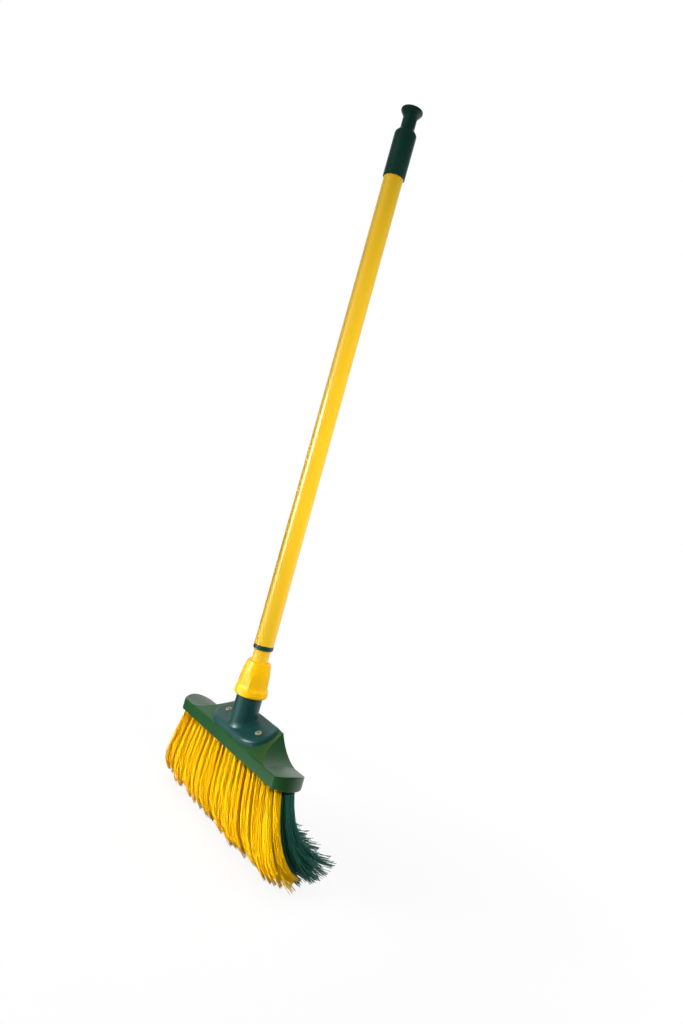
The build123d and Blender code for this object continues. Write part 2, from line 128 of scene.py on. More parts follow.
class NodeSheet:
    """Adds nodes to a node tree, in columns, and links them."""

    COLUMN_WIDTH = 190
    # A mix node's sockets for colours: the share and both colours in, and the mixed colour out.
    MIX_INPUTS = (0, 6, 7)
    MIX_OUTPUT = 2

    def __init__(self, tree: bpy.types.NodeTree) -> None:
        """Starts on an emptied tree.

        Args:
            tree: The node tree.
        """
        self.tree = tree
        self.tree.nodes.clear()
        self.column = 0

    def add(self, kind: str, **values: object) -> bpy.types.Node:
        """Adds a node.

        Args:
            kind: The node's type name.
            values: Properties of the node to set.

        Returns:
            The node.
        """
        node = self.tree.nodes.new(kind)
        node.location = (self.column * self.COLUMN_WIDTH, 0)
        self.column += 1
        for name, value in values.items():
            setattr(node, name, value)
        return node

    def join(self, source: bpy.types.NodeSocket, target: bpy.types.NodeSocket) -> None:
        """Links an output socket to an input socket."""
        self.tree.links.new(source, target)

    def feed(self, value: object, target: bpy.types.NodeSocket) -> None:
        """Links a socket to an input, or sets the input to a plain value.

        Args:
            value: A socket, a number or a colour.
            target: The input.
        """
        if isinstance(value, bpy.types.NodeSocket):
            self.join(value, target)
        elif isinstance(value, tuple) and target.type == "RGBA":
            target.default_value = (*value, 1.0)
        else:
            target.default_value = value

    def mix(self, share: object, first: object, second: object, blend: str = "MIX") -> bpy.types.NodeSocket:
        """Mixes two colours.

        Args:
            share: The factor, a socket or a number.
            first: The first colour, a socket or a colour.
            second: The second colour, a socket or a colour.
            blend: The blend type.

        Returns:
            The mixed colour's socket.
        """
        node = self.add("ShaderNodeMix", data_type="RGBA", blend_type=blend)
        for value, number in zip((share, first, second), self.MIX_INPUTS):
            self.feed(value, node.inputs[number])
        return node.outputs[self.MIX_OUTPUT]

    def calc(self, operation: str, first: object, second: object) -> bpy.types.NodeSocket:
        """Works out one number from two.

        Args:
            operation: The math operation.
            first: The first number, a socket or a number.
            second: The second number, a socket or a number.

        Returns:
            The result's socket.
        """
        node = self.add("ShaderNodeMath", operation=operation)
        self.feed(first, node.inputs[0])
        self.feed(second, node.inputs[1])
        return node.outputs[0]

    def remap(self, value: bpy.types.NodeSocket, source: Range = (0.0, 1.0), target: Range = (0.0, 1.0),
              smooth: bool = False) -> bpy.types.NodeSocket:
        """Maps a number from one range onto another.

        Args:
            value: The number's socket.
            source: The range that it comes from.
            target: The range that it goes to.
            smooth: Whether it eases in and out.

        Returns:
            The mapped number's socket.
        """
        node = self.add("ShaderNodeMapRange", interpolation_type="SMOOTHSTEP" if smooth else "LINEAR")
        self.join(value, node.inputs["Value"])
        for name, number in zip(("From Min", "From Max", "To Min", "To Max"), (*source, *target)):
            node.inputs[name].default_value = number
        return node.outputs[0]

    def noise(self, place: bpy.types.NodeSocket, scale: object, detail: float,
              roughness: float = 0.5) -> bpy.types.NodeSocket:
        """Adds a noise.

        Args:
            place: Where it is sampled, a socket.
            scale: How fine it is, a socket or a number.
            detail: How many finer layers it has.
            roughness: How strong the finer layers are.

        Returns:
            The noise's socket.
        """
        node = self.add("ShaderNodeTexNoise")
        self.join(place, node.inputs["Vector"])
        self.feed(scale, node.inputs["Scale"])
        node.inputs["Detail"].default_value = detail
        node.inputs["Roughness"].default_value = roughness
        return node.outputs["Fac"]


class ShaderSheet(NodeSheet):
    """A new material's sheet, with the material's shader and output."""

    def __init__(self, name: str) -> None:
        """Starts the material.

        Args:
            name: The material's name.
        """
        self.material = bpy.data.materials.new(name)
        self.material.use_nodes = True
        super().__init__(self.material.node_tree)
        self.shader = self.add("ShaderNodeBsdfPrincipled")
        out = self.add("ShaderNodeOutputMaterial")
        self.join(self.shader.outputs[0], out.inputs["Surface"])

    def where(self) -> bpy.types.NodeSocket:
        """The place on the piece, as a socket."""
        return self.add("ShaderNodeTexCoord").outputs["Object"]

    def show(self, effect: bpy.types.Node, depth: float = 0.0) -> None:
        """Feeds an effect's colour and roughness to the shader, and its height with a depth.

        Args:
            effect: The effect's node.
            depth: How deep the relief is, in metres; 0 is no relief.
        """
        self.join(effect.outputs["Colour"], self.shader.inputs["Base Color"])
        self.join(effect.outputs["Roughness"], self.shader.inputs["Roughness"])
        if depth:
            bump = self.add("ShaderNodeBump")
            bump.inputs["Distance"].default_value = depth
            self.join(effect.outputs["Height"], bump.inputs["Height"])
            self.join(bump.outputs[0], self.shader.inputs["Normal"])


class Effect(Enum):
    """Shared surface effects, each a shader node group."""

    MOULD_GRAIN = "mould_grain"
    PAINT_PEEL = "paint_peel"
    FILAMENT = "filament"


class SharedEffects:
    """Builds the shared effects once and places them in materials.

    Attributes:
        SCUFF_NOISE: The noise at which a scuff starts and is full.
        SCUFF_TONE: What a scuff adds to the colour.
        SCUFF_ROUGHNESS: What a scuff adds to the roughness.
        MOTTLE_ROUGHNESS: What the mottle adds to the roughness, at the least and at the most.
        TUBE_LINES: How fine the lines on a tube are, across it twice and along it.
        LINES_SHARE: The lines' share in the tube's tone.
        CLOUD_SHARE: The cloudy tones' share in it.
        CLOUD_ROUGHNESS: What the cloudy tones add to the roughness, at the least and at the most.
        ROOT_SHADE_REACH: From where to where along a filament the painted shade near its root fades.
        ROOT_SHADE_SHARE: The share of that painted shade's darker colour at the start and at the end of
            that.
        FILAMENT_ROUGHNESS: The roughness of the darkest filament and of the lightest.
    """

    VECTOR = "NodeSocketVector"
    NUMBER = "NodeSocketFloat"
    COLOUR = "NodeSocketColor"

    SCUFF_NOISE: Range = (0.62, 0.78)
    SCUFF_TONE: Rgb = (0.35, 0.35, 0.33)
    SCUFF_ROUGHNESS = 0.3
    MOTTLE_ROUGHNESS: Range = (-0.05, 0.05)
    TUBE_LINES: Point = (420, 420, 3)
    LINES_SHARE = 0.6
    CLOUD_SHARE = 0.4
    CLOUD_ROUGHNESS: Range = (-0.06, 0.06)
    ROOT_SHADE_REACH: Range = (0.0, 0.3)
    ROOT_SHADE_SHARE: Range = (0.75, 0.0)
    FILAMENT_ROUGHNESS: Range = (0.32, 0.5)

    def __init__(self) -> None:
        """Builds every group."""
        self.trees = {
            Effect.MOULD_GRAIN: self.mould_grain(),
            Effect.PAINT_PEEL: self.paint_peel(),
            Effect.FILAMENT: self.filament(),
        }

    def group(self, effect: Effect, inputs: dict[str, str],
              outputs: dict[str, str]) -> tuple[NodeSheet, bpy.types.Node, bpy.types.Node]:
        """Starts a shader node group with named sockets.

        Args:
            effect: Which effect it makes.
            inputs: Input names and their socket types.
            outputs: Output names and their socket types.

        Returns:
            The sheet of the group's tree, its input node and its output node.
        """
        tree = bpy.data.node_groups.new(effect.value, "ShaderNodeTree")
        for name, kind in inputs.items():
            tree.interface.new_socket(name, in_out="INPUT", socket_type=kind)
        for name, kind in outputs.items():
            tree.interface.new_socket(name, in_out="OUTPUT", socket_type=kind)
        sheet = NodeSheet(tree)
        return sheet, sheet.add("NodeGroupInput"), sheet.add("NodeGroupOutput")

    def mould_grain(self) -> bpy.types.NodeTree:
        """Grain, mottle and light scuffs of a moulded plastic.

        Returns:
            The group: it puts out a colour, a roughness and a height.
        """
        sheet, given, put = self.group(
            Effect.MOULD_GRAIN,
            {"Place": self.VECTOR, "Dark": self.COLOUR, "Light": self.COLOUR, "Gloss": self.NUMBER,
             "Grain Scale": self.NUMBER, "Scuff": self.NUMBER},
            {"Colour": self.COLOUR, "Roughness": self.NUMBER, "Height": self.NUMBER},
        )
        place = given.outputs["Place"]
        mottle = sheet.noise(place, scale=45, detail=4)
        grain = sheet.noise(place, scale=given.outputs["Grain Scale"], detail=2)
        scratch = sheet.noise(place, scale=260, detail=6, roughness=0.75)
        rubbed = sheet.remap(scratch, source=self.SCUFF_NOISE)
        scuff = sheet.calc("MULTIPLY", rubbed, given.outputs["Scuff"])
        body = sheet.mix(mottle, given.outputs["Dark"], given.outputs["Light"])
        sheet.join(sheet.mix(scuff, body, self.SCUFF_TONE, blend="SCREEN"), put.inputs["Colour"])
        uneven = sheet.remap(mottle, target=self.MOTTLE_ROUGHNESS)
        rough = sheet.calc("ADD", sheet.calc("ADD", given.outputs["Gloss"], uneven),
                           sheet.calc("MULTIPLY", scuff, self.SCUFF_ROUGHNESS))
        sheet.join(rough, put.inputs["Roughness"])
        sheet.join(grain, put.inputs["Height"])
        return sheet.tree

    def paint_peel(self) -> bpy.types.NodeTree:
        """Paint on a drawn tube: fine peel, faint lines along the tube and cloudy tones.

        Returns:
            The group: it puts out a colour, a roughness and a height.
        """
        sheet, given, put = self.group(
            Effect.PAINT_PEEL,
            {"Place": self.VECTOR, "Dark": self.COLOUR, "Light": self.COLOUR, "Gloss": self.NUMBER},
            {"Colour": self.COLOUR, "Roughness": self.NUMBER, "Height": self.NUMBER},
        )
        place = given.outputs["Place"]
        along = sheet.add("ShaderNodeMapping")
        along.inputs["Scale"].default_value = self.TUBE_LINES
        sheet.join(place, along.inputs["Vector"])
        lines = sheet.noise(along.outputs[0], scale=1, detail=3)
        peel = sheet.noise(place, scale=520, detail=1)
        cloud = sheet.noise(place, scale=18, detail=5)
        tone = sheet.calc("ADD", sheet.calc("MULTIPLY", lines, self.LINES_SHARE),
                          sheet.calc("MULTIPLY", cloud, self.CLOUD_SHARE))
        sheet.join(sheet.mix(tone, given.outputs["Dark"], given.outputs["Light"]), put.inputs["Colour"])
        rough = sheet.calc("ADD", given.outputs["Gloss"], sheet.remap(cloud, target=self.CLOUD_ROUGHNESS))
        sheet.join(rough, put.inputs["Roughness"])
        sheet.join(peel, put.inputs["Height"])
        return sheet.tree

    def filament(self) -> bpy.types.NodeTree:
        """A drawn filament: each has its own tint, and a darker colour near its root, which is painted
        shade.

        Returns:
            The group: it puts out a colour and a roughness.
        """
        sheet, given, put = self.group(
            Effect.FILAMENT,
            {"Tint": self.NUMBER, "Reach": self.NUMBER, "Dark": self.COLOUR, "Light": self.COLOUR,
             "Root": self.COLOUR},
            {"Colour": self.COLOUR, "Roughness": self.NUMBER},
        )
        body = sheet.mix(given.outputs["Tint"], given.outputs["Dark"], given.outputs["Light"])
        # Painted shade: the colour darkens towards the root, as if shaded under the block and between the
        # filaments.
        near = sheet.remap(given.outputs["Reach"], self.ROOT_SHADE_REACH, self.ROOT_SHADE_SHARE)
        sheet.join(sheet.mix(near, body, given.outputs["Root"]), put.inputs["Colour"])
        rough = sheet.remap(given.outputs["Tint"], target=self.FILAMENT_ROUGHNESS)
        sheet.join(rough, put.inputs["Roughness"])
        return sheet.tree

    def place(self, sheet: NodeSheet, effect: Effect, **values: object) -> bpy.types.Node:
        """Places an effect in a material.

        Args:
            sheet: The material's sheet.
            effect: Which effect.
            values: What its inputs take, by name with _ for a space.

        Returns:
            The group's node.
        """
        node = sheet.add("ShaderNodeGroup", node_tree=self.trees[effect])
        for name, value in values.items():
            sheet.feed(value, node.inputs[name.replace("_", " ")])
        return node


@dataclass(frozen=True)
class GrainedFinish:
    """A finish with a fine grain and light scuffs.

    Attributes:
        name: The material's name.
        dark: Its darker tone.
        light: Its lighter tone.
        gloss: Its roughness.
        grain_scale: How fine its grain is.
        grain_depth: How deep its grain is, in metres.
        scuff: How much it is rubbed.
    """

    name: str
    dark: Rgb
    light: Rgb
    gloss: float
    grain_scale: float = 1500
    grain_depth: float = 0.00004
    scuff: float = 0.1

    def grained(self, effects: SharedEffects) -> ShaderSheet:
        """Starts the material with its grain.

        Args:
            effects: The shared effects.

        Returns:
            The material's sheet.
        """
        sheet = ShaderSheet(self.name)
        grain = effects.place(sheet, Effect.MOULD_GRAIN, Place=sheet.where(), Dark=self.dark,
                              Light=self.light, Gloss=self.gloss, Grain_Scale=self.grain_scale,
                              Scuff=self.scuff)
        sheet.show(grain, self.grain_depth)
        return sheet


@dataclass(frozen=True)
class MouldedPlastic(GrainedFinish):
    """A moulded plastic finish.

    Attributes:
        sheen: Its specular level.
    """

    sheen: float = 0.5

    def material(self, effects: SharedEffects) -> bpy.types.Material:
        """Builds the material.

        Args:
            effects: The shared effects.

        Returns:
            The material.
        """
        sheet = self.grained(effects)
        sheet.shader.inputs["Specular IOR Level"].default_value = self.sheen
        return sheet.material


@dataclass(frozen=True)
class PlatedMetal(GrainedFinish):
    """Bright plated metal, with a finer grain.

    Attributes:
        metal: How metallic it looks: less than 1 is dulled.
    """

    grain_scale: float = 2200
    grain_depth: float = 0.00003
    scuff: float = 0.2
    metal: float = 1.0

    def material(self, effects: SharedEffects) -> bpy.types.Material:
        """Builds the material.

        Args:
            effects: The shared effects.

        Returns:
            The material.
        """
        sheet = self.grained(effects)
        sheet.shader.inputs["Metallic"].default_value = self.metal
        return sheet.material


@dataclass(frozen=True)
class TubePaint:
    """Gloss paint on a drawn tube.

    Attributes:
        name: The material's name.
        dark: Its darker tone.
        light: Its lighter tone.
        gloss: Its roughness.
        peel_depth: How deep its peel is, in metres.
        coat: A coat of gloss over it.
        coat_gloss: The coat's roughness.
    """

    name: str
    dark: Rgb
    light: Rgb
    gloss: float
    peel_depth: float = 0.00003
    coat: float = 0.4
    coat_gloss: float = 0.08

    def material(self, effects: SharedEffects) -> bpy.types.Material:
        """Builds the material.

        Args:
            effects: The shared effects.

        Returns:
            The material.
        """
        sheet = ShaderSheet(self.name)
        peel = effects.place(sheet, Effect.PAINT_PEEL, Place=sheet.where(), Dark=self.dark,
                             Light=self.light, Gloss=self.gloss)
        sheet.show(peel, self.peel_depth)
        sheet.shader.inputs["Coat Weight"].default_value = self.coat
        sheet.shader.inputs["Coat Roughness"].default_value = self.coat_gloss
        return sheet.material


@dataclass(frozen=True)
class DrawnFilament:
    """Plastic filament, tinted one by one.

    Attributes:
        name: The material's name.
        dark: Its darker tint.
        light: Its lighter tint.
        root: Its darker colour near the root, which is painted shade.
        sheen: Its specular level.
    """

    name: str
    dark: Rgb
    light: Rgb
    root: Rgb
    sheen: float = 0.3

    def material(self, effects: SharedEffects) -> bpy.types.Material:
        """Builds the material.

        Args:
            effects: The shared effects.

        Returns:
            The material.
        """
        sheet = ShaderSheet(self.name)
        tint = sheet.add("ShaderNodeAttribute", attribute_name="tint")
        reach = sheet.add("ShaderNodeAttribute", attribute_name="reach")
        drawn = effects.place(sheet, Effect.FILAMENT, Tint=tint.outputs["Fac"], Reach=reach.outputs["Fac"],
                              Dark=self.dark, Light=self.light, Root=self.root)
        sheet.show(drawn)
        sheet.shader.inputs["Specular IOR Level"].default_value = self.sheen
        return sheet.material


class Finish(Enum):
    """The finishes of the broom, by the record's material slots."""

    GRIP = MouldedPlastic("grip_plastic", linear(15, 54, 45), linear(21, 64, 54), 0.42)
    TUBE = TubePaint("tube_paint", linear(234, 184, 26), linear(244, 198, 40), 0.34)
    RING = MouldedPlastic("ring_plastic", linear(18, 56, 52), linear(24, 66, 60), 0.4)
    LOCK = MouldedPlastic("lock_plastic", linear(150, 150, 146), linear(166, 166, 162), 0.5)
    CLAMP = MouldedPlastic("clamp_plastic", linear(46, 46, 46), linear(56, 56, 56), 0.5)
    NUT = MouldedPlastic("nut_plastic", linear(242, 182, 6), linear(250, 194, 12), 0.4, sheen=0.25)
    SOCKET = MouldedPlastic("socket_plastic", linear(16, 54, 52), linear(22, 64, 61), 0.34, sheen=0.38)
    BLOCK = MouldedPlastic("block_plastic", linear(19, 59, 27), linear(26, 71, 34), 0.34, sheen=0.65)
    SCREW = PlatedMetal("screw_metal", linear(196, 180, 154), linear(222, 208, 186), 0.3, metal=0.6)
    # The third colour of each filament finish is painted shade near the roots.
    YELLOW = DrawnFilament("yellow_bristle", linear(250, 200, 4), linear(255, 214, 8),
                           linear(246, 186, 2), sheen=0.15)
    GREEN = DrawnFilament("green_bristle", linear(30, 91, 78), linear(53, 123, 106), linear(22, 73, 61))
    STAPLE = PlatedMetal("staple_wire", linear(150, 150, 150), linear(190, 190, 190), 0.35)


class FinishBook:
    """Builds each finish once."""

    def __init__(self) -> None:
        """Builds the shared effects and every material."""
        effects = SharedEffects()
        self.materials = {finish: finish.value.material(effects) for finish in Finish}

    def __getitem__(self, finish: Finish) -> bpy.types.Material:
        """The material of a finish."""
        return self.materials[finish]


@dataclass
class CadSkins:
    """Finishes for the CAD nodes that stay in view or stay inside.

    Attributes:
        finishes: The finish of each node.
    """

    finishes: dict[str, Finish] = field(default_factory=lambda: {
        "grip": Finish.GRIP,
        "outer_tube": Finish.TUBE,
        "end_ring": Finish.RING,
        "inner_tube": Finish.TUBE,
        "lock_spindle": Finish.LOCK,
        "stop_cap": Finish.LOCK,
        "lock_sleeve": Finish.LOCK,
        "wedge_nut": Finish.LOCK,
        "locking_nut": Finish.NUT,
        "clamp_ring": Finish.CLAMP,
        "socket": Finish.SOCKET,
        "block": Finish.BLOCK,
        "tuft_staples": Finish.STAPLE,
    })

    def build(self, nodes: dict[str, bpy.types.Object], book: FinishBook) -> None:
        """Gives each node its finish.

        Args:
            nodes: The frame's nodes by name.
            book: The finishes.
        """
        for name, finish in self.finishes.items():
            dress(nodes[name], book[finish])
            LOG.info("node %s: %s", name, finish.value.name)


@dataclass
class SocketScrews:
    """Two cross-recess screws that hold the socket's foot on the block.

    Attributes:
        spacing: Between the two screws.
        seat: Where the line between them crosses the middle of the foot's top.
        tilt: The foot's slope towards the front.
        turns: How far each screw is turned, in radians.
        head_r: Radius of the head.
        head_height: Height of the head.
        head_sides: Sides of the head's outline.
        round_share: How much of the head's height is rounded.
        round_steps: Steps of the rounding.
        slot_len: Length of one arm pair of the cross.
        slot_width: Width of an arm.
        slot_depth: Depth of the cross.
        smooth_angle: Edges sharper than this stay sharp.
    """

    spacing: float = 0.0820
    seat: Point = (0.0, 0.00004, -0.76089)
    tilt: float = math.radians(22.81)
    turns: tuple[float, float] = (0.4, 1.1)
    head_r: float = 0.0043
    head_height: float = 0.0030
    head_sides: int = 40
    round_share: float = 0.72
    round_steps: int = 5
    slot_len: float = 0.0056
    slot_width: float = 0.0020
    slot_depth: float = 0.0024
    smooth_angle: float = math.radians(40)

    def head(self) -> bpy.types.Object:
        """Models one head, upright at the origin.

        Returns:
            The head.
        """
        clear_selection()
        bpy.ops.mesh.primitive_cylinder_add(vertices=self.head_sides, radius=self.head_r,
                                            depth=self.head_height, location=(0, 0, self.head_height / 2))
        piece = bpy.context.object
        rim = piece.modifiers.new("round", "BEVEL")
        rim.width = self.head_height * self.round_share
        rim.segments = self.round_steps
        rim.limit_method = "ANGLE"
        take(piece)
        bpy.ops.object.modifier_apply(modifier=rim.name)
        for turn in (0.0, math.pi / 2):
            self.cut(piece, turn)
        return piece

    def cut(self, piece: bpy.types.Object, turn: float) -> None:
        """Cuts one arm pair of the cross.

        Args:
            piece: The head.
            turn: The arm pair's turn about the head's axis.
        """
        clear_selection()
        bpy.ops.mesh.primitive_cube_add(size=1, location=(0, 0, self.head_height))
        tool = bpy.context.object
        tool.scale = (self.slot_len, self.slot_width, 2 * self.slot_depth)
        tool.rotation_euler = (0, 0, turn)
        settle(tool)
        cut = piece.modifiers.new("cross", "BOOLEAN")
        cut.operation = "DIFFERENCE"
        cut.object = tool
        cut.solver = "EXACT"
        take(piece)
        bpy.ops.object.modifier_apply(modifier=cut.name)
        bpy.data.objects.remove(tool)

    def build(self, book: FinishBook) -> None:
        """Makes both screws as one piece.

        Args:
            book: The finishes.
        """
        heads = []
        for side, turn in zip((-1, 1), self.turns):
            piece = self.head()
            lean = Matrix.Rotation(self.tilt, 4, "X") @ Matrix.Rotation(turn, 4, "Z")
            place = Vector(self.seat) + Vector((side * self.spacing / 2, 0, 0))
            piece.matrix_world = Matrix.Translation(place) @ lean
            heads.append(settle(piece))
        clear_selection()
        for piece in heads:
            piece.select_set(True)
        bpy.context.view_layer.objects.active = heads[0]
        bpy.ops.object.join()
        screws = bpy.context.object
        screws.name = "cross_screws"
        take(screws)
        bpy.ops.object.shade_smooth_by_angle(angle=self.smooth_angle)
        dress(screws, book[Finish.SCREW])
        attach(screws, "head")
        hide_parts("socket_screws")
        LOG.info("piece %s", screws.name)


@dataclass(frozen=True)
class FilamentLock:
    """A few filaments of a tuft that keep together down to their tips.

    Attributes:
        place_x: Its place in the tuft along the block, from -1 to 1.
        place_y: Its place in the tuft across the block, from -1 to 1.
        lean_x: How far its tips lean along the block.
        length: Its share of the row's filament length.
        bend: Its share of the row's bend.
        tint: Its tint, from 0 to 1.
    """

    place_x: float
    place_y: float
    lean_x: float
    length: float
    bend: float
    tint: float


@dataclass
class BristleRow:
    """One row of tufts: bundles of filaments in the block's sole.

    Of length, bend, curl and lock_bend the two values are the front row's and the rear row's, and the
    other rows lie between.

    Attributes:
        node: The CAD node that the row stands for.
        number: The row's number from the front, from 0.
        finish: Its filaments' finish.
        slot: The record's material slot; not used.
        rows: How many rows there are.
        tuft_pitch: From one tuft to the next.
        tufts: Tufts in a row; every second row has one more.
        strip_width: Width of the strip of the sole that the tufts stand in.
        strip_height: Height of the strip.
        strip_margin: From the last tuft to the strip's end.
        root_depth: How deep the filaments start in the strip.
        length: Length of a filament.
        length_spread: How much filaments differ in length.
        bend: Turn of a tip to the rear, in radians.
        bend_spread: How much filaments differ in bend.
        curl: How late a filament bends: 1 is at once, more is nearer the tip.
        fan_out: Spread along the block at the tips, as a share of the tuft's place.
        fan_ease: How the spread along the block grows: less than 1 is sooner.
        sweep: How far all the tips lean along the block.
        hole_r: Radius of a tuft at its root.
        hole_across: The same across the block, as a share of it.
        open_along: How much wider a tuft gets along the block.
        open_across: How much wider it gets across the block.
        open_ease: How a tuft's width grows: less than 1 is sooner.
        locks: Locks in a tuft.
        lock_r: Radius of a lock, as a share of the tuft's.
        lock_ring: How far out the ring of locks stands, at the least and at the most.
        lock_lean: How much the locks differ in lean.
        lean_ease: How the lean grows: more than 1 is later.
        lock_length: How much the locks differ in length.
        longest: The most that a lock's share of the length can be.
        lock_bend: How much the locks differ in bend.
        most_bent: The most that a lock's share of the bend can be.
        gather: Where a lock's filaments start to draw together, as a share of the length.
        point: How wide a lock ends, as a share of its widest.
        filaments: Filaments in a lock.
        filament_r: Radius of a filament.
        tip_share: A tip's radius, as a share of the filament's.
        stations: Points along a filament.
        corners: Corners of a filament's section, which is a bevel of the lowest resolution.
        weld: Points nearer than this are one.
        seed: Seed of the front row's chance; each row has the next.
    """

    node: str
    number: int
    finish: Finish
    slot: str
    rows: int = 5
    tuft_pitch: float = 0.0116
    tufts: int = 21
    strip_width: float = 0.0062
    strip_height: float = 0.004
    strip_margin: float = 0.004
    root_depth: float = 0.001
    length: Range = (0.1125, 0.1190)
    length_spread: float = 0.012
    bend: Range = (0.85, 1.40)
    bend_spread: float = 0.04
    curl: Range = (3.0, 1.3)
    fan_out: float = 0.34
    fan_ease: float = 1.15
    sweep: float = -0.004
    hole_r: float = 0.0028
    hole_across: float = 2.25
    open_along: float = 2.4
    open_across: float = 0.1
    open_ease: float = 0.8
    locks: int = 8
    lock_r: float = 0.55
    lock_ring: Range = (0.7, 1.0)
    lock_lean: float = 0.0011
    lean_ease: float = 1.5
    lock_length: float = 0.045
    longest: float = 1.05
    lock_bend: Range = (0.08, 0.17)
    most_bent: float = 1.1
    gather: float = 0.7
    point: float = 0.28
    filaments: int = 12
    filament_r: float = 0.00038
    tip_share: float = 0.75
    stations: int = 10
    corners: int = 4
    weld: float = 0.000001
    seed: int = 101

    def own(self, ends: Range) -> float:
        """This row's value, between those of the front row and the rear one."""
        front, rear = ends
        return front + (rear - front) * self.number / (self.rows - 1)

    def places(self) -> list[float]:
        """X of each tuft in the row."""
        count = self.tufts + self.number % 2
        return [(place - (count - 1) / 2) * self.tuft_pitch for place in range(count)]

    def spot(self, chance: random.Random) -> tuple[float, float]:
        """Draws a place in a circle of radius 1.

        Args:
            chance: The row's own chance.

        Returns:
            The place along the block and across it.
        """
        turn = chance.uniform(0, 2 * math.pi)
        out = math.sqrt(chance.random())
        return out * math.cos(turn), out * math.sin(turn)

    def lock(self, chance: random.Random, turn: float, number: int) -> FilamentLock:
        """Draws a lock's own place, lean, length, bend and tint.

        Args:
            chance: The row's own chance.
            turn: Where the tuft's ring of locks starts, as an angle.
            number: The lock's number in its tuft: 0 is in the middle, the others stand in a ring.

        Returns:
            The lock.
        """
        out = chance.uniform(*self.lock_ring) if number else 0.0
        round_at = turn + 2 * math.pi * number / (self.locks - 1)
        return FilamentLock(
            place_x=out * math.cos(round_at),
            place_y=out * math.sin(round_at),
            lean_x=chance.gauss(0, self.lock_lean),
            length=min(chance.gauss(1, self.lock_length), self.longest),
            bend=min(chance.gauss(1, self.own(self.lock_bend)), self.most_bent),
            tint=chance.random(),
        )

    def line(self, chance: random.Random, lock: FilamentLock, root: Point) -> list[tuple[Point, float]]:
        """The line of one filament.

        Args:
            chance: The row's own chance.
            lock: The lock that it belongs to.
            root: Middle of its tuft, on the sole.

        Returns:
            Points from root to tip, each with its reach from 0 to 1.
        """
        spot_x, spot_y = self.spot(chance)
        length = self.own(self.length) * lock.length * chance.gauss(1, self.length_spread)
        bend = self.own(self.bend) * lock.bend * chance.gauss(1, self.bend_spread)
        curl = self.own(self.curl)
        step = 1 / (self.stations - 1)
        side, back, down, angle = 0.0, 0.0, 0.0, 0.0
        points = []
        for station in range(self.stations):
            reach = station * step
            if station:
                angle = bend * (reach - step / 2) ** curl
                fanned = (root[0] * self.fan_out + self.sweep) * reach**self.fan_ease
                run = math.sqrt((step * length) ** 2 - (fanned - side) ** 2)
                side = fanned
                back += run * math.sin(angle)
                down += run * math.cos(angle)
            drawn = max(0.0, (reach - self.gather) / (1 - self.gather))
            lock_r = self.lock_r * (1 + (self.point - 1) * drawn)
            off_x = self.hole_r * ((1 - self.lock_r) * lock.place_x + lock_r * spot_x)
            off_y = self.hole_r * ((1 - self.lock_r) * lock.place_y + lock_r * spot_y)
            opened = reach**self.open_ease
            # Across the row a filament stands off square to its own line, so that bent tufts stay thick.
            thick = off_y * (self.hole_across + self.open_across * opened)
            wide = off_x * (1 + self.open_along * opened)
            x = root[0] + side + wide + lock.lean_x * reach**self.lean_ease
            y = root[1] + back + thick * math.cos(angle)
            z = root[2] + self.root_depth - down + thick * math.sin(angle)
            points.append(((x, y, z), reach))
        return points

    def drawn(self, root_y: float, sole: float) -> tuple[bpy.types.Curve, list[float], list[float]]:
        """Draws all filaments of the row as one bevelled curve.

        Args:
            root_y: Y of the row's tufts.
            sole: Height of the sole.

        Returns:
            The curve, and the tint and the reach of each point of its skin.
        """
        chance = random.Random(self.seed + self.number)
        curve = bpy.data.curves.new(f"{self.node}_line", "CURVE")
        curve.dimensions = "3D"
        curve.bevel_depth = self.filament_r
        curve.bevel_resolution = 0
        curve.use_fill_caps = True
        tints, reaches = [], []
        for x in self.places():
            turn = chance.uniform(0, 2 * math.pi)
            for number in range(self.locks):
                lock = self.lock(chance, turn, number)
                for _ in range(self.filaments):
                    points = self.line(chance, lock, (x, root_y, sole))
                    tint = (lock.tint + chance.random()) / 2
                    spline = curve.splines.new("POLY")
                    spline.points.add(len(points) - 1)
                    for point, (place, reach) in zip(spline.points, points):
                        point.co = (*place, 1)
                        point.radius = 1 + (self.tip_share - 1) * reach
                        tints.extend([tint] * self.corners)
                        reaches.extend([reach] * self.corners)
        return curve, tints, reaches

    def tufts_piece(self, root_y: float, sole: float) -> bpy.types.Object:
        """Models the row's filaments as a curve and makes it a mesh.

        Args:
            root_y: Y of the row's tufts.
            sole: Height of the sole.

        Returns:
            The filaments, with their tint and reach as attributes.
        """
        curve, tints, reaches = self.drawn(root_y, sole)
        piece = bpy.data.objects.new(f"{self.node}_filaments", curve)
        bpy.context.scene.collection.objects.link(piece)
        take(piece)
        bpy.ops.object.convert(target="MESH")
        piece = bpy.context.object
        # The caps come with points of their own; welded, each station has its corners and no more.
        bpy.ops.object.mode_set(mode="EDIT")
        bpy.ops.mesh.select_all(action="SELECT")
        bpy.ops.mesh.remove_doubles(threshold=self.weld)
        bpy.ops.object.mode_set(mode="OBJECT")
        for name, values in (("tint", tints), ("reach", reaches)):
            layer = piece.data.attributes.new(name, "FLOAT", "POINT")
            layer.data.foreach_set("value", values)
        bpy.ops.object.shade_smooth()
        return piece

    def strip_piece(self, root_y: float, sole: float) -> bpy.types.Object:
        """Models the strip of the sole that the tufts stand in.

        Args:
            root_y: Y of the row's tufts.
            sole: Height of the sole.

        Returns:
            The strip.
        """
        length = (len(self.places()) - 1) * self.tuft_pitch + 2 * self.strip_margin
        clear_selection()
        bpy.ops.mesh.primitive_cube_add(size=1, location=(0, root_y, sole + self.strip_height / 2))
        strip = bpy.context.object
        strip.scale = (length, self.strip_width, self.strip_height)
        strip.name = f"{self.node}_strip"
        return settle(strip)

